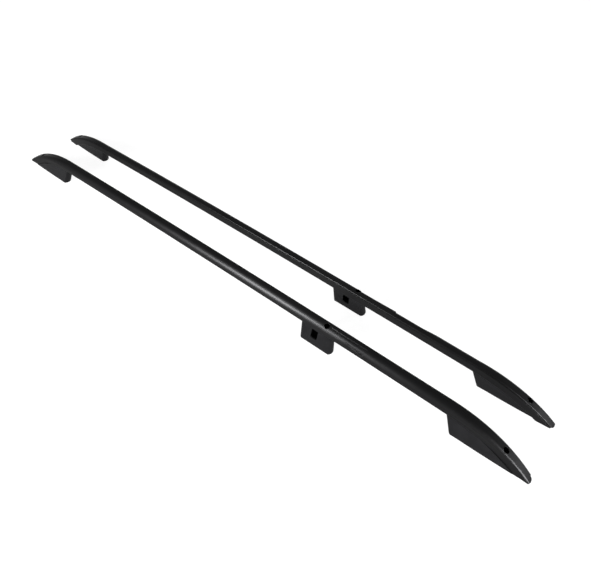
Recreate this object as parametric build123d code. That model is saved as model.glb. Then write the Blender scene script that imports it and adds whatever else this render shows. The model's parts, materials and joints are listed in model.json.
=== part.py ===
"""Pair of roof side rails: bent hollow profiles on moulded feet, mirrored left and right.

Millimetres, +X forward, +Y left, +Z up.
The roof is the plane z = 0 and the origin lies midway between the rails.
"""

from build123d import *
import os
from math import acos, atan2, cos, degrees, hypot, sin, sqrt

# Overall
LENGTH = 1710.0            # tip to tip
TIP_TRIM = 3.5             # each blunt tip is cut this far before the bend would run out to an edge
SPACING = 135.0            # between the centre planes of the two rails
RAIL_CLEARANCE = 56.5      # roof to the rail's underside at mid-length
CROWN_RADIUS = 41000.0     # underside of the long middle stretch
BEND_RADIUS = 320.0        # underside of each end

# Rail section, seen along the rail, with the rounded side outward
RAIL_WIDTH = 25.0
RAIL_HEIGHT = 26.5
RAIL_WALL = 2.5
OUTER_TOP_RADIUS = 16.0
OUTER_LOW_RADIUS = 2.5
INNER_TOP_RADIUS = 2.0
INNER_LOW_RADIUS = 2.5
GROOVE_WIDTH = 2.4         # shadow groove along the inner face
GROOVE_DEPTH = 1.3
GROOVE_DROP = 3.8          # middle of the groove below the rail's top
END_TAPER = 7.0            # each end grows narrower by this much
END_TOE = 7.0              # and swings outward by this much
END_TOP_RADIUS = 5.0       # the outer top corner grows sharper toward the tip
TIP_INNER_RADIUS = 6.0     # corners of the blunt tip in plan
TIP_OUTER_RADIUS = 8.0
TIP_SOLID = 14.0           # the hollow stops this far short of the tip
PAST_TIP = 0.08            # radians that each end is swept on past its tip before the roof cut

# Feet
PAD_THICKNESS = 2.0
END_FOOT_LENGTH = 180.0    # tip to the foot's inner end, at the base
END_FOOT_RAKE = 21.0       # the inner end leans toward mid-rail by this much up to its neck
END_FOOT_NECK = 44.0       # height of the neck
END_FOOT_SWELL = 9.0       # the inner end swells out by this much from the neck to the rail
MID_FOOT_X = 309.0         # middle of the middle foot's base
MID_FOOT_LENGTH = 82.0
MID_FOOT_LEAN = 7.0        # the middle foot's top stands this far to the rear of its base
MID_FOOT_NARROW = 3.0      # the top is shorter than the base by this much
FOOT_INSET = 0.8           # inner face of a foot behind the rail's inner face
FOOT_OVERHANG = 2.5        # outer face of a foot behind the rail's outer face, at the rail
FOOT_FLARE = 10.0          # the outer face comes out by this much at the base
FOOT_SLANT = 6.8           # the inner face goes outward by this much at the base
END_SPLAY = 0.78           # share of flare and slant that is left halfway along an end foot
FOOT_WALL = 3.0
END_BULGE = 6.0            # how far the feet's end faces bow out
SEAT_DEPTH = 3.0           # feet are made this much too tall and then fitted to the rail
RIB = 2.4
END_RIBS = (0.25, 0.42)    # shares of the end foot's length from its inner end

# Window through the middle foot
WINDOW_WIDTH = 19.0
WINDOW_HEIGHT = 30.0
WINDOW_RADIUS = 5.0
WINDOW_BEHIND = 7.5        # window centre behind the middle of the foot
WINDOW_BELOW_RAIL = 4.0

# Fixings
BOLT_FROM_TIP = 73.0
END_BOLT_OUT = 4.0         # outward of the rail's centre plane
MID_BOLT_OUT = 1.0
MID_BOLT_AHEAD = 17.0      # ahead of the middle of the middle foot
BOLT_HOLE = 6.6
ACCESS_HOLE = 14.0
SLEEVE_OUTER = 9.0
END_SLEEVE_LENGTH = 11.0
MID_SLEEVE_LENGTH = 42.0
BOLT_BOSS = 18.0
SCREW_FROM_TIP = 166.0
MID_SCREW_BEHIND = 33.0    # behind the middle of the middle foot
SCREW_CORE = 4.2
SCREW_CLEARANCE = 5.2
SCREW_HEAD = 9.5
SCREW_HEAD_HEIGHT = 3.0
SCREW_GRIP = 10.0          # foot material between screw head and rail
SCREW_LENGTH = 15.0
SCREW_POCKET = 10.5
SCREW_BOSS = 15.0
SCREW_HEX = 4.0            # across the flats of the drive
SCREW_DRIVE_DEPTH = 2.0

# Seal pads
PAD_INSET = 1.0
PAD_TIP = 5.0              # pad short of the rail's tip
PAD_SHOULDER = 26.0        # where the pad begins to round off toward the tip
PAD_NOSE_TURN = 70.0

HALF = LENGTH / 2
INNER_FACE = -RAIL_WIDTH / 2
OUTER_FACE = RAIL_WIDTH / 2
FOOT_INNER = INNER_FACE + FOOT_INSET
FOOT_OUTER = OUTER_FACE - FOOT_OVERHANG
MID_BOLT = (MID_FOOT_X + MID_BOLT_AHEAD, MID_BOLT_OUT)
MID_SCREW = (MID_FOOT_X - MID_SCREW_BEHIND, 0)
END_BOLT = (HALF - BOLT_FROM_TIP, END_BOLT_OUT)
END_SCREW = (HALF - SCREW_FROM_TIP, 0)

# Crown arc and bend arc touch at TURN; the rail's top would meet the pad's top face just past the tip
CROWN_CENTRE_Z = RAIL_CLEARANCE - CROWN_RADIUS
CENTRE_GAP = CROWN_RADIUS - BEND_RADIUS
TOP_BEND = BEND_RADIUS + RAIL_HEIGHT
DROP = PAD_THICKNESS - CROWN_CENTRE_Z
REACH = hypot(HALF + TIP_TRIM, DROP)
TURN_BACK = acos((REACH**2 + CENTRE_GAP**2 - TOP_BEND**2) / (2 * CENTRE_GAP * REACH))
TURN = atan2(HALF + TIP_TRIM, DROP) - TURN_BACK
BEND_X = CENTRE_GAP * sin(TURN)
BEND_Z = CROWN_CENTRE_Z + CENTRE_GAP * cos(TURN)
TIP_TURN = acos((PAD_THICKNESS - BEND_Z) / TOP_BEND)


def on_bend(angle, radius=BEND_RADIUS):
    """Point of the front bend at an angle from the vertical."""
    return Vector(BEND_X + radius * sin(angle), 0, BEND_Z + radius * cos(angle))


def underside(x):
    """Height of the rail's underside over a place along the rail."""
    if abs(x) <= CROWN_RADIUS * sin(TURN):
        return CROWN_CENTRE_Z + sqrt(CROWN_RADIUS**2 - x**2)
    return BEND_Z + sqrt(BEND_RADIUS**2 - (abs(x) - BEND_X) ** 2)


def section(inset, share=0.0):
    """Rail section about the middle of its underside, less a wall, at a share of the way round a bend."""
    swing = share**2
    sharpening = share * (2 - share)
    toe = END_TOE * swing
    inner, outer = INNER_FACE + END_TAPER * swing + toe + inset, OUTER_FACE + toe - inset
    low, high = inset, RAIL_HEIGHT - inset
    outline = make_face(Polyline((inner, low), (outer, low), (outer, high), (inner, high), close=True))
    corners = {
        (inner, low): INNER_LOW_RADIUS,
        (outer, low): OUTER_LOW_RADIUS,
        (outer, high): OUTER_TOP_RADIUS + (END_TOP_RADIUS - OUTER_TOP_RADIUS) * sharpening,
        (inner, high): INNER_TOP_RADIUS,
    }
    for place, radius in corners.items():
        if radius > inset:
            corner = outline.vertices().sort_by_distance(place)[0]
            outline = fillet(corner, radius - inset)
    if inset == 0:
        outline -= Pos(inner, RAIL_HEIGHT - GROOVE_DROP) * Rectangle(2 * GROOVE_DEPTH, GROOVE_WIDTH)
    return outline


def across(path, place):
    """Plane across a path, its X to the left and its Y away from the roof."""
    return Plane(path @ place, x_dir=(0, 1, 0), z_dir=path % place)


def rail_blank(inset=0.0):
    """The bent rail as a full bar, or its hollow when an inset is given, before the roof cut."""
    crown_axis = Axis((0, 0, CROWN_CENTRE_Z), (0, 1, 0))
    middle = Plane((0, 0, RAIL_CLEARANCE), x_dir=(0, 1, 0), z_dir=(1, 0, 0)) * section(inset)
    half = revolve(middle, crown_axis, degrees(TURN))
    finish = TIP_TURN + PAST_TIP
    bend = ThreePointArc(on_bend(TURN), on_bend((TURN + finish) / 2), on_bend(finish))
    ends = [across(bend, share) * section(inset, share) for share in (0, 0.5, 1)]
    half += sweep(ends, bend, multisection=True)
    return half + mirror(half, Plane.YZ)


def upright(diameter, place, low, high):
    """Upright round bar at a place in plan."""
    standing = (Align.CENTER, Align.CENTER, Align.MIN)
    return Pos(*place, low) * Cylinder(diameter / 2, high - low, align=standing)


def plan(x_inner, x_outer, inner_side, outer_side, bulge, z):
    """Plan outline between two ends, the first one bowed; a side is given by its places from end to end."""
    rear_in, rear_out = (x_inner, inner_side[0]), (x_inner, outer_side[0])
    bow = (x_inner - bulge, (inner_side[0] + outer_side[0]) / 2)
    edges = [ThreePointArc(rear_in, bow, rear_out)]
    for side in (inner_side, outer_side):
        step = (x_outer - x_inner) / (len(side) - 1)
        places = [(x_inner + i * step, y) for i, y in enumerate(side)]
        edges.append(Line(*places) if len(places) == 2 else Spline(*places))
    edges.append(Line((x_outer, inner_side[-1]), (x_outer, outer_side[-1])))
    return Plane.XY.offset(z) * make_face(edges)


def end_foot_block(inset=0.0):
    """Front foot before it is fitted to the rail, or its hollow when a wall is given."""
    top = RAIL_CLEARANCE + SEAT_DEPTH
    heel = HALF - END_FOOT_LENGTH + inset
    inner, outer = FOOT_INNER + inset, FOOT_OUTER - inset
    levels = (
        (PAD_THICKNESS, 0, 1),
        (END_FOOT_NECK, END_FOOT_RAKE, 1 - END_FOOT_NECK / top),
        (top, END_FOOT_RAKE + END_FOOT_SWELL, 0),
    )
    outlines = []
    for z, back, splay in levels:
        slant, flare = FOOT_SLANT * splay, FOOT_FLARE * splay
        inner_middle = inner + (END_TAPER + END_TOE) / 4 + END_SPLAY * slant
        outer_middle = outer + END_TOE / 4 + END_SPLAY * flare
        inner_side = (inner + slant, inner_middle, inner + END_TAPER + END_TOE)
        outer_side = (outer + flare, outer_middle, outer + END_TOE)
        outlines.append(plan(heel - back, HALF, inner_side, outer_side, END_BULGE, z))
    radius = BEND_RADIUS + (SEAT_DEPTH if inset == 0 else -inset)
    toe_turn = acos((PAD_THICKNESS - BEND_Z) / radius)
    turns = (TURN, (TURN + toe_turn) / 2, toe_turn)
    arc = ThreePointArc(*(on_bend(turn, radius) for turn in turns))
    back = heel - 2 * (END_FOOT_RAKE + END_FOOT_SWELL + END_BULGE)
    corner, crest = Vector(back, 0, PAD_THICKNESS), Vector(back, 0, (arc @ 0).Z)
    below = make_face([arc, Line(arc @ 1, corner), Line(corner, crest), Line(crest, arc @ 0)])
    return loft(outlines, ruled=True) & extrude(below, 2 * RAIL_WIDTH, both=True)


def mid_foot_block(inset=0.0):
    """Middle foot before it is fitted to the rail, or its hollow when a wall is given."""
    top = underside(MID_FOOT_X) + (SEAT_DEPTH if inset == 0 else -inset)
    levels = ((PAD_THICKNESS, 0, 0, FOOT_SLANT, FOOT_FLARE), (top, MID_FOOT_LEAN, MID_FOOT_NARROW, 0, 0))
    shapes = []
    for z, lean, narrow, slant, flare in levels:
        middle, reach = MID_FOOT_X - lean, (MID_FOOT_LENGTH - narrow) / 2 - inset
        inner, outer = FOOT_INNER + slant + inset, FOOT_OUTER + flare - inset
        tail = plan(middle - reach, middle, (inner, inner), (outer, outer), END_BULGE, z)
        nose = mirror(tail, Plane((middle, 0, z), z_dir=(1, 0, 0)))
        shapes.append((tail, nose))
    return sum((loft(list(pair), ruled=True) for pair in zip(*shapes)), Part())


def screw(place):
    """Tapping screw, head down, that holds a foot on the rail."""
    seat = underside(place[0]) - SCREW_GRIP
    bottom = seat - SCREW_HEAD_HEIGHT
    hexagon = RegularPolygon(SCREW_HEX / 2, 6, major_radius=False)
    drive = extrude(Pos(*place, bottom) * hexagon, SCREW_DRIVE_DEPTH)
    shank = upright(SCREW_CORE, place, seat, seat + SCREW_LENGTH)
    shank = chamfer(shank.edges().sort_by(Axis.Z)[-1], SCREW_CORE / 4)
    return upright(SCREW_HEAD, place, bottom, seat) - drive + shank


def sleeve(place, length):
    """Steel sleeve that takes the bolt's load through a foot."""
    top = PAD_THICKNESS + length
    return upright(SLEEVE_OUTER, place, PAD_THICKNESS, top) - upright(BOLT_HOLE, place, PAD_THICKNESS, top)


def finish_foot(block, hollow, rail, bolt, sleeve_length, fixing, ribs):
    """Hollow a foot from below, give it bosses and ribs, fit it to the rail and drill it."""
    high = RAIL_CLEARANCE + RAIL_HEIGHT
    seat = underside(fixing[0]) - SCREW_GRIP
    inside = upright(BOLT_BOSS, bolt, PAD_THICKNESS, high)
    inside += upright(SCREW_BOSS, fixing, PAD_THICKNESS, high)
    for x in ribs:
        inside += Pos(x, 0, high / 2) * Box(RIB, 2 * RAIL_WIDTH, high)
    fitted = block - hollow + (inside & block) - rail
    foot = fitted.solids().sort_by(Axis.Z)[0]
    foot -= upright(BOLT_HOLE, bolt, 0, high)
    foot -= upright(SLEEVE_OUTER, bolt, 0, PAD_THICKNESS + sleeve_length)
    foot -= upright(SCREW_POCKET, fixing, 0, seat)
    return foot - upright(SCREW_CLEARANCE, fixing, 0, high)


def window():
    """Bar that cuts the window, its lower corners well rounded."""
    height = underside(MID_FOOT_X) - WINDOW_BELOW_RAIL - WINDOW_HEIGHT / 2
    frame = Plane((MID_FOOT_X - WINDOW_BEHIND, 0, height), x_dir=(1, 0, 0), z_dir=(0, -1, 0))
    opening = Rectangle(WINDOW_WIDTH, WINDOW_HEIGHT)
    opening = fillet(opening.vertices().group_by(Axis.Y)[0], WINDOW_RADIUS)
    return extrude(frame * opening, 2 * RAIL_WIDTH, both=True)


def end_pad():
    """Seal pad under the front foot and the rail's cut end."""
    heel, tip = HALF - END_FOOT_LENGTH + PAD_INSET, HALF - PAD_TIP
    inner, outer = FOOT_INNER + FOOT_SLANT + PAD_INSET, FOOT_OUTER + FOOT_FLARE - PAD_INSET
    toe_inner = FOOT_INNER + END_TAPER + END_TOE + PAD_INSET
    shoulder, toe_outer = HALF - PAD_SHOULDER, FOOT_OUTER + END_TOE - PAD_INSET
    nose = JernArc((shoulder, toe_outer), (1, 0), toe_outer - toe_inner, -PAD_NOSE_TURN)
    edges = [
        ThreePointArc((heel, inner), (heel - END_BULGE, (inner + outer) / 2), (heel, outer)),
        Line((heel, outer), (shoulder, toe_outer)),
        nose,
        Line(nose @ 1, (tip, toe_inner)),
        Line((tip, toe_inner), (heel, inner)),
    ]
    return extrude(make_face(edges), PAD_THICKNESS) - upright(BOLT_HOLE, END_BOLT, 0, PAD_THICKNESS)


def middle_pad():
    """Seal pad under the middle foot."""
    inner, outer = FOOT_INNER + FOOT_SLANT + PAD_INSET, FOOT_OUTER + FOOT_FLARE - PAD_INSET
    reach = MID_FOOT_LENGTH / 2 - PAD_INSET
    tail = plan(MID_FOOT_X - reach, MID_FOOT_X, (inner, inner), (outer, outer), END_BULGE, 0)
    whole = tail + mirror(tail, Plane((MID_FOOT_X, 0, 0), z_dir=(1, 0, 0)))
    return extrude(whole, PAD_THICKNESS) - upright(BOLT_HOLE, MID_BOLT, 0, PAD_THICKNESS)


def drilled_rail(bar):
    """Hollow the bar and drill it: access holes above, bolt and screw holes below."""
    rail = bar - (rail_blank(RAIL_WALL) & Box(LENGTH - 2 * TIP_SOLID, 4 * RAIL_WIDTH, LENGTH))
    high = RAIL_CLEARANCE + 2 * RAIL_HEIGHT
    for x, y in (END_BOLT, (-END_BOLT[0], END_BOLT[1]), MID_BOLT):
        rail -= upright(BOLT_HOLE, (x, y), 0, high)
        rail -= upright(ACCESS_HOLE, (x, y), underside(x) + RAIL_HEIGHT / 2, high)
    for x, y in (END_SCREW, (-END_SCREW[0], END_SCREW[1]), MID_SCREW):
        rail -= upright(SCREW_CORE, (x, y), 0, underside(x) + RAIL_HEIGHT / 2)
    return rail


def tip_corner(place, radius, inward):
    """Cutter that rounds one corner of the front tip in plan; inward is the side where the rail lies."""
    block = Pos(HALF, place, 0) * Box(2 * radius, 2 * radius, LENGTH)
    return block - Pos(HALF - radius, place + inward * radius, 0) * Cylinder(radius, LENGTH)


def trimmed_bar():
    """Full bar, cut flat at the roof and blunt at both tips."""
    below = (Align.CENTER, Align.CENTER, Align.MAX)
    bar = rail_blank() & Box(LENGTH, 4 * RAIL_WIDTH, LENGTH)
    bar -= Pos(0, 0, PAD_THICKNESS) * Box(2 * LENGTH, 4 * RAIL_WIDTH, LENGTH, align=below)
    tip_inner, tip_outer = INNER_FACE + END_TAPER + END_TOE, OUTER_FACE + END_TOE
    for place, radius, inward in ((tip_inner, TIP_INNER_RADIUS, 1), (tip_outer, TIP_OUTER_RADIUS, -1)):
        cutter = tip_corner(place, radius, inward)
        bar = bar - cutter - mirror(cutter, Plane.YZ)
    return bar


def build_side():
    """All pieces of the left rail on its own centre plane."""
    bar = trimmed_bar()
    heel = HALF - END_FOOT_LENGTH
    ribs = [heel + share * END_FOOT_LENGTH for share in END_RIBS]
    end_shapes = end_foot_block(), end_foot_block(FOOT_WALL)
    front = finish_foot(*end_shapes, bar, END_BOLT, END_SLEEVE_LENGTH, END_SCREW, ribs)
    mid_shapes = mid_foot_block(), mid_foot_block(FOOT_WALL)
    middle = finish_foot(*mid_shapes, bar, MID_BOLT, MID_SLEEVE_LENGTH, MID_SCREW, ())
    front_sleeve = sleeve(END_BOLT, END_SLEEVE_LENGTH)
    front_screw = screw(END_SCREW)
    pad = end_pad()
    return {
        "rail": drilled_rail(bar),
        "front_foot": front,
        "middle_foot": middle - window(),
        "rear_foot": mirror(front, Plane.YZ),
        "front_pad": pad,
        "middle_pad": middle_pad(),
        "rear_pad": mirror(pad, Plane.YZ),
        "end_sleeves": Compound([front_sleeve, mirror(front_sleeve, Plane.YZ)]),
        "middle_sleeve": sleeve(MID_BOLT, MID_SLEEVE_LENGTH),
        "foot_screws": Compound([front_screw, screw(MID_SCREW), mirror(front_screw, Plane.YZ)]),
    }


os.makedirs("parts", exist_ok=True)
for name, shape in build_side().items():
    left = Pos(0, SPACING / 2, 0) * shape
    export_step(left, f"parts/left_{name}.step")
    export_step(mirror(left, Plane.XZ), f"parts/right_{name}.step")
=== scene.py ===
"""Looks of a pair of roof side rails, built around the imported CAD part.

The rails, feet, pads, sleeves and screws are the CAD nodes themselves. This script gives them their
finishes, adds the rounded lips of the access holes and the sealing beads of the pads, and sets the floor,
the light and the camera.
"""

import json
import logging
import math
from dataclasses import dataclass, field
from enum import Enum

import bpy
import numpy as np
from mathutils import Matrix, Vector


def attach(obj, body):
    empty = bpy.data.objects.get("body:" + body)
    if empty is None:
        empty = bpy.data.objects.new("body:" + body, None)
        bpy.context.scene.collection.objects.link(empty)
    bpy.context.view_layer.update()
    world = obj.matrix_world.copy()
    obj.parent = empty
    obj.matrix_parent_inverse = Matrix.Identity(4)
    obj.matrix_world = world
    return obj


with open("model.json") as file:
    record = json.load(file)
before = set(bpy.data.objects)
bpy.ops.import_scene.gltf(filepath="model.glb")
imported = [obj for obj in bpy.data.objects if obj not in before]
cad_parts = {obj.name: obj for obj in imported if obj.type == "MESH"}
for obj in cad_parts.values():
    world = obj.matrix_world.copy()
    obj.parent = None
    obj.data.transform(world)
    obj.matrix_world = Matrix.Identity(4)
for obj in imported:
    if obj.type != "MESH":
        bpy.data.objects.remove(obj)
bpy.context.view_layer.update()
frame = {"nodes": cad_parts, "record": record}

log = logging.getLogger("roof_rails")

MM = 0.001
BODY = "root"
IMAGE_WIDTH = 591
SENSOR_MM = 36.0
SIGHT_LIMIT = 100.0
EDGE_SAMPLES = 4
FULL_WEIGHT = 100


class Side(Enum):
    """The two rails of the pair; the value is the sign of Y on that side."""

    LEFT = 1
    RIGHT = -1

    def node(self, piece: str) -> str:
        """Name of a CAD node of this side.

        Args:
            piece: Name of the piece without its side.

        Returns:
            The node's name.
        """
        return f"{self.name.lower()}_{piece}"


class Foot(Enum):
    """The three places where a rail stands on the roof."""

    FRONT = "front"
    MIDDLE = "middle"
    REAR = "rear"


@dataclass(frozen=True)
class Grain:
    """Small relief of a finish.

    Attributes:
        scale: Bumps per metre of the coarse part.
        fine: How much finer the second part is.
        depth: Height of the relief in metres.
        strength: Share of the relief that the shading shows.
        along: Scale along X against the scale across it; small where drawing leaves lines.
    """

    scale: float
    fine: float
    depth: float
    strength: float
    along: float = 1.0


@dataclass(frozen=True)
class Rounding:
    """The rounding along a rail's outer top edge, between the two bends.

    Attributes:
        across: Distance of the rounding's axis from the middle of the pair, in metres.
        height: Height of the axis above the roof at mid length.
        crown: Radius of the rail's long upward curve.
        reach: How far the rounding runs each way from mid length.
        below: How far the flat side goes on below the axis.
    """

    across: float
    height: float
    crown: float
    reach: float
    below: float


@dataclass(frozen=True)
class Finish:
    """A surface finish: a base colour with a slow change of tone and gloss, and a fine grain.

    Attributes:
        name: Name of the material.
        colour: Linear base colour.
        lighter: Linear colour that handling and dust give in places.
        roughness: Roughness where the surface is at its smoothest and at its dullest.
        grain: Relief of the surface.
        film_scale: Patches per metre of the slow change.
        edge: Radius in metres by which hard edges are shaded round.
        specular: Specular level of the shader, for a finish that is not metallic.
        metallic: Metallic value of the shader.
        glancing: Share of the reflection at a glancing angle that a metallic finish keeps.
        drawn: How far the gloss spreads across the lines that drawing leaves along X, up to one.
        rounding: The rounding whose true curve the shading follows, if the piece has one.
    """

    name: str
    colour: tuple[float, float, float]
    lighter: tuple[float, float, float]
    roughness: tuple[float, float]
    grain: Grain
    film_scale: float
    edge: float
    specular: float = 0.5
    metallic: float = 0.0
    glancing: float = 1.0
    drawn: float = 0.0
    rounding: Rounding | None = None

    def material(self, groups: "EffectGroups") -> bpy.types.Material:
        """Make the material from the shared effects.

        Args:
            groups: The shader groups that all finishes use.

        Returns:
            The finished material.
        """
        made = bpy.data.materials.new(self.name)
        made.use_nodes = True
        tree = made.node_tree
        shader = tree.nodes["Principled BSDF"]
        shader.inputs["Specular IOR Level"].default_value = self.specular
        shader.inputs["Metallic"].default_value = self.metallic
        shader.inputs["Specular Tint"].default_value = (self.glancing, self.glancing, self.glancing, 1.0)
        shader.inputs["Anisotropic"].default_value = self.drawn
        place = tree.nodes.new("ShaderNodeTexCoord").outputs["Object"]
        self._add_film(tree, shader, place, groups)
        edge = self._round_edges(tree, place, groups)
        self._add_grain(tree, shader, place, edge, groups)
        if self.drawn:
            self._lay_lines(tree, shader, edge)
        return made

    def _add_film(
        self,
        tree: bpy.types.NodeTree,
        shader: bpy.types.Node,
        place: bpy.types.NodeSocket,
        groups: "EffectGroups",
    ) -> None:
        """Let the slow film change the colour and the gloss.

        Args:
            tree: Node tree of the material.
            shader: Its shader.
            place: Object coordinates.
            groups: The shared shader groups.
        """
        film = groups.use(tree, groups.film, {"Scale": self.film_scale})
        tree.links.new(place, film.inputs["Place"])
        tone = tree.nodes.new("ShaderNodeMix")
        tone.data_type = "RGBA"
        tone.inputs["A"].default_value = (*self.colour, 1.0)
        tone.inputs["B"].default_value = (*self.lighter, 1.0)
        tree.links.new(film.outputs["Film"], tone.inputs["Factor"])
        tree.links.new(tone.outputs["Result"], shader.inputs["Base Color"])
        gloss = tree.nodes.new("ShaderNodeMapRange")
        gloss.inputs["To Min"].default_value, gloss.inputs["To Max"].default_value = self.roughness
        tree.links.new(film.outputs["Film"], gloss.inputs["Value"])
        tree.links.new(gloss.outputs["Result"], shader.inputs["Roughness"])

    def _round_edges(
        self, tree: bpy.types.NodeTree, place: bpy.types.NodeSocket, groups: "EffectGroups"
    ) -> bpy.types.NodeSocket:
        """Shade hard edges round, and follow the true curve of a rounding.

        Args:
            tree: Node tree of the material.
            place: Object coordinates.
            groups: The shared shader groups.

        Returns:
            The normal's socket.
        """
        round_edge = tree.nodes.new("ShaderNodeBevel")
        round_edge.samples = EDGE_SAMPLES
        round_edge.inputs["Radius"].default_value = self.edge
        if self.rounding:
            curve = groups.use(tree, groups.rounding(self.rounding), {})
            tree.links.new(place, curve.inputs["Place"])
            tree.links.new(curve.outputs["Normal"], round_edge.inputs["Normal"])
        return round_edge.outputs["Normal"]

    def _add_grain(
        self,
        tree: bpy.types.NodeTree,
        shader: bpy.types.Node,
        place: bpy.types.NodeSocket,
        normal: bpy.types.NodeSocket,
        groups: "EffectGroups",
    ) -> None:
        """Raise the fine grain on the surface.

        Args:
            tree: Node tree of the material.
            shader: Its shader.
            place: Object coordinates.
            normal: Normal of the surface without grain.
            groups: The shared shader groups.
        """
        grain = groups.use(tree, groups.grain, {"Scale": self.grain.scale, "Fine": self.grain.fine})
        stretch = tree.nodes.new("ShaderNodeMapping")
        stretch.inputs["Scale"].default_value = (self.grain.along, 1.0, 1.0)
        tree.links.new(place, stretch.inputs["Vector"])
        tree.links.new(stretch.outputs["Vector"], grain.inputs["Place"])
        relief = tree.nodes.new("ShaderNodeBump")
        relief.inputs["Strength"].default_value = self.grain.strength
        relief.inputs["Distance"].default_value = self.grain.depth
        tree.links.new(grain.outputs["Height"], relief.inputs["Height"])
        tree.links.new(normal, relief.inputs["Normal"])
        tree.links.new(relief.outputs["Normal"], shader.inputs["Normal"])

    @staticmethod
    def _lay_lines(
        tree: bpy.types.NodeTree, shader: bpy.types.Node, normal: bpy.types.NodeSocket
    ) -> None:
        """Turn the shader's tangent across the drawing lines: the normal crossed with X.

        Args:
            tree: Node tree of the material.
            shader: Its shader.
            normal: Normal of the surface without grain.
        """
        across = tree.nodes.new("ShaderNodeVectorMath")
        across.operation = "CROSS_PRODUCT"
        across.inputs[1].default_value = (1.0, 0.0, 0.0)
        tree.links.new(normal, across.inputs[0])
        tree.links.new(across.outputs["Vector"], shader.inputs["Tangent"])


DRAWN_PROFILE = Finish(
    name="satin black drawn profile",
    colour=(0.0172, 0.0172, 0.0177),
    lighter=(0.0198, 0.0198, 0.0203),
    roughness=(0.35, 0.39),
    grain=Grain(scale=900.0, fine=2.7, depth=0.00002, strength=0.06, along=0.01),
    film_scale=9.0,
    edge=0.0005,
    metallic=1.0,
    glancing=0.55,
    drawn=0.5,
    rounding=Rounding(across=0.064, height=0.067, crown=41.0, reach=0.655, below=0.0075),
)
MOULDED_NYLON = Finish(
    name="grained black nylon",
    colour=(0.0045, 0.0045, 0.0049),
    lighter=(0.0066, 0.0066, 0.0072),
    roughness=(0.50, 0.62),
    grain=Grain(scale=1400.0, fine=2.2, depth=0.00012, strength=0.45),
    film_scale=22.0,
    edge=0.0005,
    specular=0.04,
)
SEAL_RUBBER = Finish(
    name="matte seal rubber",
    colour=(0.012, 0.012, 0.0125),
    lighter=(0.022, 0.022, 0.022),
    roughness=(0.74, 0.88),
    grain=Grain(scale=2200.0, fine=1.9, depth=0.00008, strength=0.35),
    film_scale=40.0,
    edge=0.0004,
    specular=0.3,
)
ZINC_PLATE = Finish(
    name="zinc plated steel",
    colour=(0.52, 0.53, 0.55),
    lighter=(0.66, 0.66, 0.65),
    roughness=(0.26, 0.42),
    grain=Grain(scale=3000.0, fine=2.0, depth=0.00003, strength=0.25),
    film_scale=120.0,
    edge=0.0003,
    metallic=1.0,
)


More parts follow.
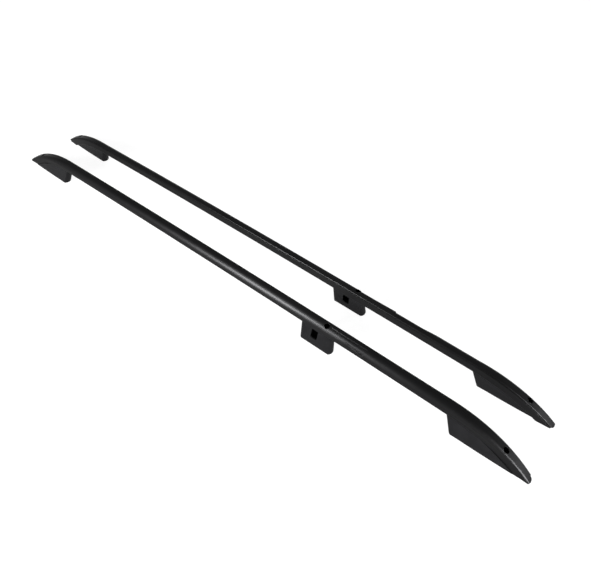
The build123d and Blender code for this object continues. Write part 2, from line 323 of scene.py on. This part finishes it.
class EffectGroups:
    """Shader groups that the finishes share.

    Attributes:
        FINE_SHARE: Share of the finer noise in the grain.
        GRAIN_DETAIL: Detail of the grain's noise.
        FILM_DETAIL: Detail of the film's noise.
        FILM_ROUGHNESS: Roughness of the film's noise.
        FILM_RANGE: Noise values at which the film starts and is full.
        SAME_WAY: Least cosine between a facet and the true curve.
    """

    FINE_SHARE = 0.45
    GRAIN_DETAIL = 2.0
    FILM_DETAIL = 5.0
    FILM_ROUGHNESS = 0.6
    FILM_RANGE = (0.34, 0.68)
    SAME_WAY = 0.8

    def __init__(self) -> None:
        """Build the groups once."""
        self.grain = self._grain()
        self.film = self._film()

    @staticmethod
    def _new(
        name: str, sockets: dict[str, float], output: str, kind: str = "NodeSocketFloat"
    ) -> tuple[bpy.types.NodeTree, bpy.types.Node, bpy.types.Node]:
        """Start a group with a place, number inputs and one output.

        Args:
            name: Name of the group.
            sockets: Number inputs and their first values.
            output: Name of the output.
            kind: Type of the output's socket.

        Returns:
            The group, its input node and its output node.
        """
        group = bpy.data.node_groups.new(name, "ShaderNodeTree")
        group.interface.new_socket("Place", in_out="INPUT", socket_type="NodeSocketVector")
        for label, value in sockets.items():
            socket = group.interface.new_socket(label, in_out="INPUT", socket_type="NodeSocketFloat")
            socket.default_value = value
        group.interface.new_socket(output, in_out="OUTPUT", socket_type=kind)
        return group, group.nodes.new("NodeGroupInput"), group.nodes.new("NodeGroupOutput")

    def _grain(self) -> bpy.types.NodeTree:
        """Relief made of rounded cells with finer noise over them.

        Returns:
            The group.
        """
        group, given, result = self._new("surface grain", {"Scale": 1000.0, "Fine": 2.0}, "Height")
        cells = group.nodes.new("ShaderNodeTexVoronoi")
        cells.feature = "SMOOTH_F1"
        noise = group.nodes.new("ShaderNodeTexNoise")
        noise.inputs["Detail"].default_value = self.GRAIN_DETAIL
        finer = group.nodes.new("ShaderNodeMath")
        finer.operation = "MULTIPLY"
        both = group.nodes.new("ShaderNodeMix")
        both.inputs["Factor"].default_value = self.FINE_SHARE
        group.links.new(given.outputs["Place"], cells.inputs["Vector"])
        group.links.new(given.outputs["Scale"], cells.inputs["Scale"])
        group.links.new(given.outputs["Scale"], finer.inputs[0])
        group.links.new(given.outputs["Fine"], finer.inputs[1])
        group.links.new(given.outputs["Place"], noise.inputs["Vector"])
        group.links.new(finer.outputs["Value"], noise.inputs["Scale"])
        group.links.new(cells.outputs["Distance"], both.inputs["A"])
        group.links.new(noise.outputs["Fac"], both.inputs["B"])
        group.links.new(both.outputs["Result"], result.inputs["Height"])
        return group

    def _film(self) -> bpy.types.NodeTree:
        """Slow patches, from handling and dust, between nought and one.

        Returns:
            The group.
        """
        group, given, result = self._new("handling film", {"Scale": 10.0}, "Film")
        noise = group.nodes.new("ShaderNodeTexNoise")
        noise.inputs["Detail"].default_value = self.FILM_DETAIL
        noise.inputs["Roughness"].default_value = self.FILM_ROUGHNESS
        spread = group.nodes.new("ShaderNodeMapRange")
        spread.interpolation_type = "SMOOTHSTEP"
        spread.inputs["From Min"].default_value, spread.inputs["From Max"].default_value = self.FILM_RANGE
        group.links.new(given.outputs["Place"], noise.inputs["Vector"])
        group.links.new(given.outputs["Scale"], noise.inputs["Scale"])
        group.links.new(noise.outputs["Fac"], spread.inputs["Value"])
        group.links.new(spread.outputs["Result"], result.inputs["Film"])
        return group

    @staticmethod
    def _work(
        group: bpy.types.NodeTree, operation: str, *values: bpy.types.NodeSocket | float
    ) -> bpy.types.NodeSocket:
        """Add one number operation to a group.

        Args:
            group: The group to build in.
            operation: Name of the operation.
            values: Sockets or plain numbers it works on.

        Returns:
            The result's socket.
        """
        node = group.nodes.new("ShaderNodeMath")
        node.operation = operation
        for socket, value in zip(node.inputs, values):
            if isinstance(value, (int, float)):
                socket.default_value = value
            else:
                group.links.new(value, socket)
        return node.outputs["Value"]

    def rounding(self, curve: Rounding) -> bpy.types.NodeTree:
        """True normal of a rounding, and the surface's own normal elsewhere.

        The normal points from the rounding's axis to the surface. Across the rail it is the distance past the
        axis, and upward it is the height above it. The axis sinks by x squared over twice the crown's radius,
        and the normal leans by x over that radius. It is used where the facet looks the same way to within
        about thirty-seven degrees.

        Args:
            curve: Sizes of the rounding.

        Returns:
            The group.
        """
        group, given, result = self._new("rail rounding", {}, "Normal", "NodeSocketVector")
        parts = group.nodes.new("ShaderNodeSeparateXYZ")
        group.links.new(given.outputs["Place"], parts.inputs["Vector"])
        x, y, z = (parts.outputs[axis] for axis in "XYZ")
        past = self._work(group, "SUBTRACT", self._work(group, "ABSOLUTE", y), curve.across)
        past = self._work(group, "MAXIMUM", past, 0.0)
        past = self._work(group, "MULTIPLY", past, self._work(group, "SIGN", y))
        drop = self._work(group, "DIVIDE", self._work(group, "MULTIPLY", x, x), 2.0 * curve.crown)
        level = self._work(group, "ADD", self._work(group, "SUBTRACT", z, curve.height), drop)
        above = self._work(group, "MAXIMUM", level, 0.0)
        lean = self._work(group, "MULTIPLY", self._work(group, "DIVIDE", x, curve.crown), above)
        axis_to_surface = group.nodes.new("ShaderNodeCombineXYZ")
        for socket, value in zip(axis_to_surface.inputs, (lean, past, above)):
            group.links.new(value, socket)
        true = group.nodes.new("ShaderNodeVectorMath")
        true.operation = "NORMALIZE"
        group.links.new(axis_to_surface.outputs["Vector"], true.inputs[0])

        surface = group.nodes.new("ShaderNodeNewGeometry")
        alike = group.nodes.new("ShaderNodeVectorMath")
        alike.operation = "DOT_PRODUCT"
        group.links.new(true.outputs["Vector"], alike.inputs[0])
        group.links.new(surface.outputs["True Normal"], alike.inputs[1])
        faces_out = self._work(group, "GREATER_THAN", alike.outputs["Value"], self.SAME_WAY)
        between = self._work(group, "LESS_THAN", self._work(group, "ABSOLUTE", x), curve.reach)
        not_low = self._work(group, "GREATER_THAN", level, -curve.below)
        between = self._work(group, "MULTIPLY", between, not_low)
        chosen = group.nodes.new("ShaderNodeMix")
        chosen.data_type = "VECTOR"
        group.links.new(self._work(group, "MULTIPLY", faces_out, between), chosen.inputs["Factor"])
        group.links.new(surface.outputs["Normal"], chosen.inputs["A"])
        group.links.new(true.outputs["Vector"], chosen.inputs["B"])
        group.links.new(chosen.outputs["Result"], result.inputs["Normal"])
        return group

    @staticmethod
    def use(tree: bpy.types.NodeTree, group: bpy.types.NodeTree, values: dict[str, float]) -> bpy.types.Node:
        """Place a group in a material with its own values.

        Args:
            tree: Node tree of the material.
            group: The group to place.
            values: Values of the group's number inputs.

        Returns:
            The placed node.
        """
        node = tree.nodes.new("ShaderNodeGroup")
        node.node_tree = group
        for label, value in values.items():
            node.inputs[label].default_value = value
        return node


def node_points(node: str) -> np.ndarray:
    """Vertices of a CAD node, in metres.

    Args:
        node: Name of the node.

    Returns:
        Array of shape (count, 3).
    """
    mesh = frame["nodes"][node].data
    flat = np.empty(3 * len(mesh.vertices))
    mesh.vertices.foreach_get("co", flat)
    return flat.reshape(-1, 3)


def ring_mesh(name: str, grid: np.ndarray, material: bpy.types.Material) -> bpy.types.Object:
    """Turn a grid of points, closed both ways, into a smooth piece that rides on the part.

    Args:
        name: Name of the piece.
        grid: Points of shape (along, around, 3); both directions close on themselves.
        material: Finish of the piece.

    Returns:
        The new object.
    """
    along, around = grid.shape[:2]
    i, j = np.meshgrid(np.arange(along), np.arange(around), indexing="ij")
    i_next, j_next = (i + 1) % along, (j + 1) % around
    corners = (i * around + j, i_next * around + j, i_next * around + j_next, i * around + j_next)
    faces = np.stack(corners, axis=-1)
    mesh = bpy.data.meshes.new(name)
    mesh.from_pydata(grid.reshape(-1, 3).tolist(), [], faces.reshape(-1, 4).tolist())
    mesh.polygons.foreach_set("use_smooth", np.ones(len(mesh.polygons), dtype=bool))
    mesh.materials.append(material)
    mesh.update()
    piece = bpy.data.objects.new(name, mesh)
    bpy.context.scene.collection.objects.link(piece)
    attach(piece, BODY)
    log.info("%s: %d faces", name, len(mesh.polygons))
    return piece


def tube(
    path: np.ndarray, outward: np.ndarray, upward: np.ndarray, half: tuple[float, float], sides: int
) -> np.ndarray:
    """Carry an oval along a closed path.

    A point lies at path + half[0] * cos(v) * outward + half[1] * sin(v) * upward, with v running round the
    oval.

    Args:
        path: Points of the path, shape (count, 3).
        outward: Unit vectors away from the inside of the loop, one for each point.
        upward: Unit vectors across the loop's plane, one for each point.
        half: Half width and half height of the oval in metres.
        sides: Points round the oval.

    Returns:
        Grid of shape (count, sides, 3) whose faces look outward.
    """
    v = np.linspace(0.0, 2.0 * np.pi, sides, endpoint=False)
    across = half[0] * np.cos(v)[None, :, None] * outward[:, None, :]
    return path[:, None, :] + across + half[1] * np.sin(v)[None, :, None] * upward[:, None, :]


@dataclass
class AccessHoleLips:
    """Rounded lips that the powder coat forms round the access holes in a rail's top.

    Attributes:
        side: The rail they are on.
        hole_radius: Radius of an access hole.
        bead: Half width of a lip.
        steps: Points round a hole.
        sides: Points round the bead.
        tolerance: How near the hole's radius a point of the rim lies.
    """

    side: Side
    hole_radius: float = 7.0 * MM
    bead: float = 0.55 * MM
    steps: int = 96
    sides: int = 10
    tolerance: float = 0.02 * MM

    def centres(self) -> np.ndarray:
        """Plan places of the rail's holes, from the bolt patterns in the record.

        Returns:
            Array of shape (3, 2).
        """
        patterns = {mount["name"]: mount for mount in frame["record"]["mounts"]}
        ends, middle = patterns["end_bolts"], patterns["middle_bolts"]
        reach = ends["dims"]["spacing_x_mm"] / 2 * MM
        end_y = self.side.value * ends["dims"]["spacing_y_mm"] / 2 * MM
        middle_y = self.side.value * middle["dims"]["spacing_y_mm"] / 2 * MM
        return np.array([[reach, end_y], [-reach, end_y], [middle["pos_m"][0], middle_y]])

    def edge(self, points: np.ndarray, centre: np.ndarray) -> np.ndarray:
        """Upper edge of a hole, with its height read from the rail's own rim.

        The rim's points lie one hole radius from the axis. A plane through them parts the upper rim from the
        lower one, and the upper heights are interpolated round the hole.

        Args:
            points: Vertices of the rail.
            centre: Plan place of the hole.

        Returns:
            Array of shape (steps, 3).
        """
        away = points[:, :2] - centre
        rim = points[np.abs(np.hypot(*away.T) - self.hole_radius) < self.tolerance]
        flat = np.c_[rim[:, :2] - centre, np.ones(len(rim))]
        slope = np.linalg.lstsq(flat, rim[:, 2], rcond=None)[0]
        upper = rim[rim[:, 2] > flat @ slope]
        turn = np.arctan2(upper[:, 1] - centre[1], upper[:, 0] - centre[0])
        order = np.argsort(turn)
        round_hole = np.linspace(-np.pi, np.pi, self.steps, endpoint=False)
        height = np.interp(round_hole, turn[order], upper[order, 2], period=2.0 * np.pi)
        plan = centre + self.hole_radius * np.c_[np.cos(round_hole), np.sin(round_hole)]
        return np.c_[plan, height]

    def build(self, material: bpy.types.Material) -> None:
        """Make one lip for each hole of the rail.

        Args:
            material: Finish of the rail.
        """
        points = node_points(self.side.node("rail"))
        for foot, centre in zip((Foot.FRONT, Foot.REAR, Foot.MIDDLE), self.centres()):
            path = self.edge(points, centre)
            outward = np.c_[(path[:, :2] - centre) / self.hole_radius, np.zeros(self.steps)]
            upward = np.tile((0.0, 0.0, 1.0), (self.steps, 1))
            grid = tube(path, outward, upward, (self.bead, self.bead), self.sides)
            ring_mesh(f"{self.side.node(foot.value)}_hole_lip", grid, material)


@dataclass
class PadBead:
    """Sealing bead round the edge of a pad.

    Attributes:
        side: The rail the pad is under.
        foot: The foot the pad is under.
        half_width: Half of the bead's width.
        steps: Points along the edge.
        sides: Points round the bead.
        rim: Least distance of an edge point from the middle, with the pad scaled to a square.
    """

    side: Side
    foot: Foot
    half_width: float = 0.7 * MM
    steps: int = 260
    sides: int = 12
    rim: float = 0.8

    def outline(self, points: np.ndarray) -> np.ndarray:
        """Plan outline of the pad, evenly spaced and turning left.

        The pad is scaled to a square about its middle, so that only its edge lies far out. Those points are
        sorted by angle and then spaced out by length.

        Args:
            points: Vertices of the pad.

        Returns:
            Array of shape (steps, 2).
        """
        low, high = points[:, :2].min(axis=0), points[:, :2].max(axis=0)
        middle, half = (low + high) / 2, (high - low) / 2
        scaled = (points[:, :2] - middle) / half
        outer = points[np.hypot(*scaled.T) > self.rim, :2]
        turn = np.arctan2(*((outer - middle) / half).T[::-1])
        ring = outer[np.argsort(turn)]
        ring = np.vstack([ring, ring[:1]])
        length = np.r_[0.0, np.cumsum(np.hypot(*np.diff(ring, axis=0).T))]
        places = np.linspace(0.0, length[-1], self.steps, endpoint=False)
        return np.c_[np.interp(places, length, ring[:, 0]), np.interp(places, length, ring[:, 1])]

    def build(self, material: bpy.types.Material) -> None:
        """Make the bead.

        Args:
            material: Finish of the pad.
        """
        points = node_points(self.side.node(f"{self.foot.value}_pad"))
        plan = self.outline(points)
        thickness = points[:, 2].max() - points[:, 2].min()
        path = np.c_[plan, np.full(self.steps, points[:, 2].min() + thickness / 2)]
        run = np.roll(plan, -1, axis=0) - np.roll(plan, 1, axis=0)
        run /= np.hypot(*run.T)[:, None]
        outward = np.c_[run[:, 1], -run[:, 0], np.zeros(self.steps)]
        upward = np.tile((0.0, 0.0, 1.0), (self.steps, 1))
        grid = tube(path, outward, upward, (self.half_width, thickness / 2), self.sides)
        ring_mesh(f"{self.side.node(self.foot.value)}_pad_bead", grid, material)


@dataclass
class RailAssembly:
    """One rail with its feet, pads and fixings.

    Attributes:
        side: Which of the two rails it is.
        materials: Material of each finish, by the finish's name.
        pieces: Finish of each CAD node, by the piece's name.
    """

    side: Side
    materials: dict[str, bpy.types.Material]
    pieces: dict[str, Finish] = field(
        default_factory=lambda: {
            "rail": DRAWN_PROFILE,
            "front_foot": MOULDED_NYLON,
            "middle_foot": MOULDED_NYLON,
            "rear_foot": MOULDED_NYLON,
            "front_pad": SEAL_RUBBER,
            "middle_pad": SEAL_RUBBER,
            "rear_pad": SEAL_RUBBER,
            "end_sleeves": ZINC_PLATE,
            "middle_sleeve": ZINC_PLATE,
            "foot_screws": ZINC_PLATE,
        }
    )

    def dress(self) -> None:
        """Give each CAD node of the rail its finish, and normals led by its large faces."""
        for piece, finish in self.pieces.items():
            node = self.side.node(piece)
            slots = frame["nodes"][node].data.materials
            slots.clear()
            slots.append(self.materials[finish.name])
            even = frame["nodes"][node].modifiers.new("even normals", "WEIGHTED_NORMAL")
            even.mode = "FACE_AREA"
            even.weight = FULL_WEIGHT
            log.info("%s: %s", node, finish.name)

    def add_details(self) -> None:
        """Add the small pieces that the CAD leaves to the looks."""
        AccessHoleLips(self.side).build(self.materials[DRAWN_PROFILE.name])
        for foot in Foot:
            PadBead(self.side, foot).build(self.materials[SEAL_RUBBER.name])


@dataclass(frozen=True)
class SoftBox:
    """A soft area lamp.

    Attributes:
        name: Name of the lamp.
        place: Where it hangs, in metres.
        target: What it points at.
        size: Width and height in metres.
        watts: Power.
    """

    name: str
    place: tuple[float, float, float]
    target: tuple[float, float, float]
    size: tuple[float, float]
    watts: float

    def build(self) -> None:
        """Hang the lamp."""
        lamp = bpy.data.lights.new(self.name, "AREA")
        lamp.shape = "RECTANGLE"
        lamp.size, lamp.size_y = self.size
        lamp.energy = self.watts
        holder = bpy.data.objects.new(self.name, lamp)
        holder.location = self.place
        aim = Vector(self.target) - Vector(self.place)
        holder.rotation_euler = aim.to_track_quat("-Z", "Y").to_euler()
        bpy.context.scene.collection.objects.link(holder)


@dataclass(frozen=True)
class Studio:
    """White floor, white surroundings and soft lamps.

    Attributes:
        floor_half: Half of the floor's side in metres.
        fade: Heights of direction between which the surroundings go from white to dim.
        horizon: Brightness of the surroundings below that, equal to the far floor's.
        overhead: Brightness of the surroundings overhead.
        glow: Part of the floor's white that does not depend on the light.
        shade: Share of the light that the white floor adds where it is looked at.
        paper: Grey level of the floor where it lights the object.
        paper_roughness: Roughness of the floor.
        lamps: The soft lamps.
    """

    floor_half: float = 14.0
    fade: tuple[float, float] = (0.25, 0.60)
    horizon: float = 0.98
    overhead: float = 0.45
    glow: float = 0.87
    shade: float = 0.20
    paper: float = 0.8
    paper_roughness: float = 0.9
    lamps: tuple[SoftBox, ...] = (
        SoftBox("side softbox", (-0.80, -2.23, 0.96), (0.15, -0.05, 0.06), (0.9, 1.15), 150.0),
        SoftBox("end softbox", (2.46, -0.90, 0.55), (0.83, -0.06, 0.04), (1.3, 0.6), 95.0),
        SoftBox("front softbox", (2.60, 1.10, 0.55), (0.83, -0.05, 0.03), (0.9, 0.6), 7.0),
    )

    @staticmethod
    def _seen_white(
        tree: bpy.types.NodeTree, plain: bpy.types.NodeSocket, white: bpy.types.NodeSocket
    ) -> bpy.types.NodeSocket:
        """Mix two shaders so that the camera, glossy and transmitted rays see the second one.

        Args:
            tree: Node tree to build in.
            plain: Shader that lights the object.
            white: Shader that is looked at.

        Returns:
            The mixed shader.
        """
        path = tree.nodes.new("ShaderNodeLightPath")
        seen = tree.nodes.new("ShaderNodeMath")
        seen.operation = "MAXIMUM"
        either = tree.nodes.new("ShaderNodeMath")
        either.operation = "MAXIMUM"
        mix = tree.nodes.new("ShaderNodeMixShader")
        tree.links.new(path.outputs["Is Camera Ray"], seen.inputs[0])
        tree.links.new(path.outputs["Is Glossy Ray"], seen.inputs[1])
        tree.links.new(seen.outputs["Value"], either.inputs[0])
        tree.links.new(path.outputs["Is Transmission Ray"], either.inputs[1])
        tree.links.new(either.outputs["Value"], mix.inputs["Fac"])
        tree.links.new(plain, mix.inputs[1])
        tree.links.new(white, mix.inputs[2])
        return mix.outputs["Shader"]

    def _world(self) -> None:
        """Surroundings that are white near the horizon and dimmer overhead, by the direction's height."""
        world = bpy.data.worlds.new("white surround")
        world.use_nodes = True
        tree = world.node_tree
        sky = tree.nodes["Background"]
        sky.inputs["Strength"].default_value = 1.0
        toward = tree.nodes.new("ShaderNodeTexCoord")
        parts = tree.nodes.new("ShaderNodeSeparateXYZ")
        fade = tree.nodes.new("ShaderNodeMapRange")
        fade.interpolation_type = "SMOOTHSTEP"
        fade.inputs["From Min"].default_value, fade.inputs["From Max"].default_value = self.fade
        fade.inputs["To Min"].default_value = self.horizon
        fade.inputs["To Max"].default_value = self.overhead
        tree.links.new(toward.outputs["Generated"], parts.inputs["Vector"])
        tree.links.new(parts.outputs["Z"], fade.inputs["Value"])
        tree.links.new(fade.outputs["Result"], sky.inputs["Color"])
        bpy.context.scene.world = world

    def _floor(self) -> None:
        """Pale floor that is seen white and keeps a trace of the object's shadow."""
        mesh = bpy.data.meshes.new("floor")
        reach = self.floor_half
        corners = [(-reach, -reach, 0), (reach, -reach, 0), (reach, reach, 0), (-reach, reach, 0)]
        mesh.from_pydata(corners, [], [(0, 1, 2, 3)])
        floor = bpy.data.objects.new("floor", mesh)
        bpy.context.scene.collection.objects.link(floor)
        paper = bpy.data.materials.new("white paper")
        paper.use_nodes = True
        tree = paper.node_tree
        plain = tree.nodes["Principled BSDF"]
        plain.inputs["Base Color"].default_value = (self.paper, self.paper, self.paper, 1.0)
        plain.inputs["Roughness"].default_value = self.paper_roughness
        glow = tree.nodes.new("ShaderNodeEmission")
        glow.inputs["Strength"].default_value = self.glow
        shade = tree.nodes.new("ShaderNodeBsdfDiffuse")
        shade.inputs["Color"].default_value = (self.shade, self.shade, self.shade, 1.0)
        sum_up = tree.nodes.new("ShaderNodeAddShader")
        tree.links.new(shade.outputs["BSDF"], sum_up.inputs[0])
        tree.links.new(glow.outputs["Emission"], sum_up.inputs[1])
        mixed = self._seen_white(tree, plain.outputs["BSDF"], sum_up.outputs["Shader"])
        tree.links.new(mixed, tree.nodes["Material Output"].inputs["Surface"])
        mesh.materials.append(paper)

    def build(self) -> None:
        """Set the floor, the surroundings and the lamps."""
        self._world()
        self._floor()
        for lamp in self.lamps:
            lamp.build()
            log.info("%s: %.0f W", lamp.name, lamp.watts)


@dataclass(frozen=True)
class PhotoCamera:
    """Camera at the photograph's viewing angle.

    Attributes:
        focal_px: Focal length in pixels of the picture.
        yaw: Turn to the left of +Y, in radians.
        pitch: Tilt below the horizon, in radians.
        roll: Turn about the line of sight, in radians.
        place: Position in metres.
    """

    focal_px: float = 480.0
    yaw: float = 0.5934
    pitch: float = 0.8787
    roll: float = -0.0703
    place: tuple[float, float, float] = (0.6263, -0.6570, 1.0010)

    def build(self) -> None:
        """Make the camera and look through it."""
        level, tilt = math.cos(self.pitch), math.sin(self.pitch)
        ahead = Vector((-math.sin(self.yaw) * level, math.cos(self.yaw) * level, -tilt))
        right = Vector((math.cos(self.yaw), math.sin(self.yaw), 0.0))
        down = ahead.cross(right)
        turned_right = math.cos(self.roll) * right + math.sin(self.roll) * down
        turned_up = math.sin(self.roll) * right - math.cos(self.roll) * down
        lens = bpy.data.cameras.new("photo camera")
        lens.sensor_fit = "HORIZONTAL"
        lens.sensor_width = SENSOR_MM
        lens.lens = self.focal_px / IMAGE_WIDTH * SENSOR_MM
        lens.clip_end = SIGHT_LIMIT
        camera = bpy.data.objects.new("photo camera", lens)
        turn = Matrix((turned_right, turned_up, -ahead)).transposed()
        camera.matrix_world = Matrix.Translation(self.place) @ turn.to_4x4()
        bpy.context.scene.collection.objects.link(camera)
        bpy.context.scene.camera = camera


def main() -> None:
    """Dress both rails, add their small pieces and set the stage."""
    logging.basicConfig(level=logging.INFO, format="%(message)s")
    bpy.context.scene.view_settings.view_transform = "Standard"
    groups = EffectGroups()
    finishes = (DRAWN_PROFILE, MOULDED_NYLON, SEAL_RUBBER, ZINC_PLATE)
    materials = {finish.name: finish.material(groups) for finish in finishes}
    for side in Side:
        rail = RailAssembly(side, materials)
        rail.dress()
        rail.add_details()
    Studio().build()
    PhotoCamera().build()


if __name__ == "__main__":
    main()
